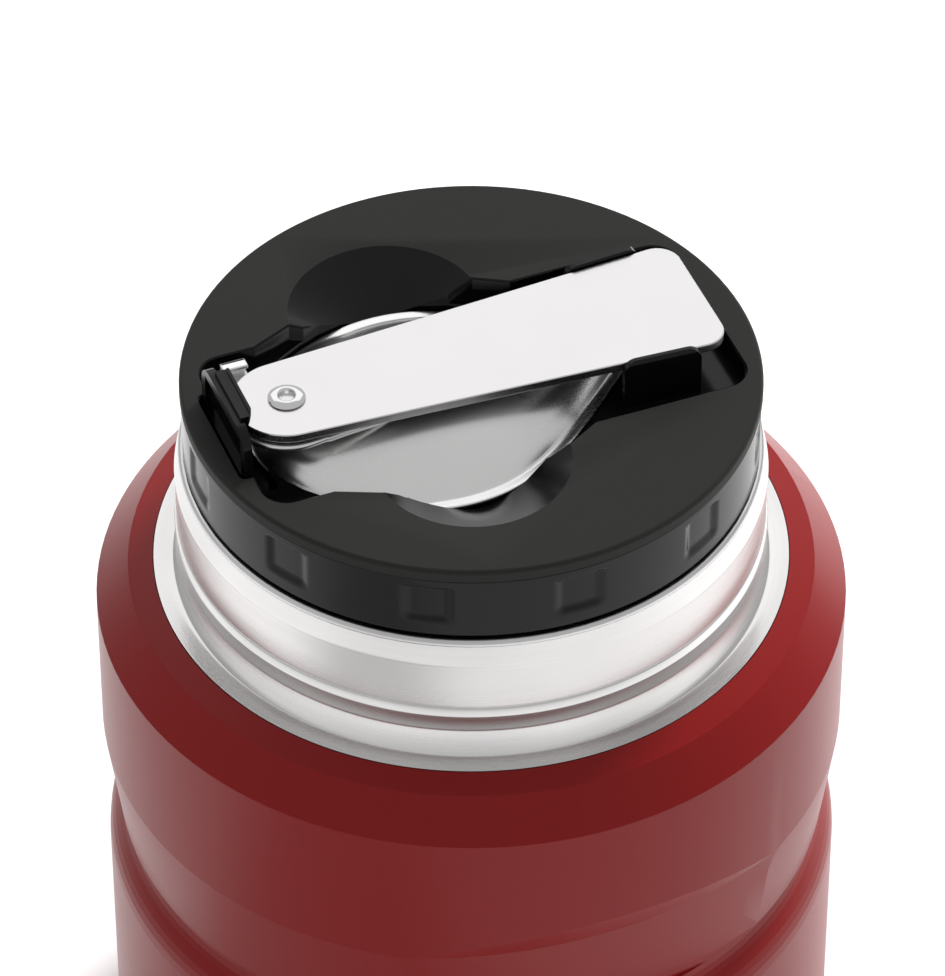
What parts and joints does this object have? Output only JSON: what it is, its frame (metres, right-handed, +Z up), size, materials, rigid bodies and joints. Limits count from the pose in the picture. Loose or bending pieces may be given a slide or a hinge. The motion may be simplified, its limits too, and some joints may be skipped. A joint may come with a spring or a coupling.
{
  "type": "insulated food jar",
  "caption": "Vacuum-insulated food jar with a screw stopper that stows a folding spoon under a latch in its deck.",
  "frame": {"origin": "centre of the base, on the plane that stands on the table", "axes": "+Z up through the stopper; the stowed spoon's handle lies along X with its wide end at +X; the flattened front panel faces -Y"},
  "size_m": [0.094, 0.094, 0.1271],
  "materials": {
    "paint": "glossy red lacquer over steel",
    "steel": "turned, brushed round the axis",
    "solder": "dull grey metal, out of sight",
    "foil": "bright foil, out of sight",
    "seal_rubber": "grey silicone",
    "plug_plastic": "matt black moulding",
    "foam": "pale rigid foam, out of sight",
    "gloss_black": "glossy black moulding",
    "matt_black": "finely grained matt black",
    "spoon_steel": "bright stainless steel"
  },
  "bodies": {
    "jar": {"body_shell": "paint", "neck_ring": "steel", "inner_liner": "steel", "outer_base": "steel", "vacuum_seal": "solder", "getter": "solder", "foil_wrap": "foil"},
    "seal": {"mouth_seal": "seal_rubber"},
    "stopper": {"stopper_plug": "plug_plastic", "plug_cap": "plug_plastic", "plug_foam": "foam", "stopper_skirt": "gloss_black", "stopper_deck": "matt_black", "spoon_tray": "gloss_black"},
    "latch": {"spoon_latch": "gloss_black"},
    "spoon": {"spoon_bowl": "spoon_steel", "spoon_rivet": "spoon_steel", "spoon_washer": "spoon_steel"},
    "handle": {"spoon_handle": "spoon_steel"}
  },
  "joints": [
    {"name": "stopper_lift", "type": "slide", "parent": "jar", "child": "seal", "axis": [0, 0, 1], "range_m": [0, 0.018]},
    {"name": "stopper_turn", "type": "hinge", "parent": "seal", "child": "stopper", "pos_m": [0, 0, 0.1], "axis": [0, 0, 1], "range_deg": [0, 811]},
    {"name": "latch_flex", "type": "hinge", "parent": "stopper", "child": "latch", "pos_m": [-0.03155, 0, 0.1162], "axis": [0, -1, 0], "range_deg": [0, 6], "stiffness_Nm_per_rad": 0.3},
    {"name": "spoon_lift", "type": "slide", "parent": "stopper", "child": "spoon", "axis": [0.3713, 0, 0.9285], "range_m": [0, 0.09]},
    {"name": "spoon_fold", "type": "hinge", "parent": "spoon", "child": "handle", "pos_m": [-0.0239, 0, 0.1229], "axis": [0, 0, 1], "range_deg": [-180.1, 0]}
  ],
  "couplings": [
    {"joint": "stopper_turn", "follows": "stopper_lift", "rad_per_m": 785.4},
    {"joint": "spoon_fold", "follows": "spoon_lift", "rad_per_m": -34.907}
  ]
}
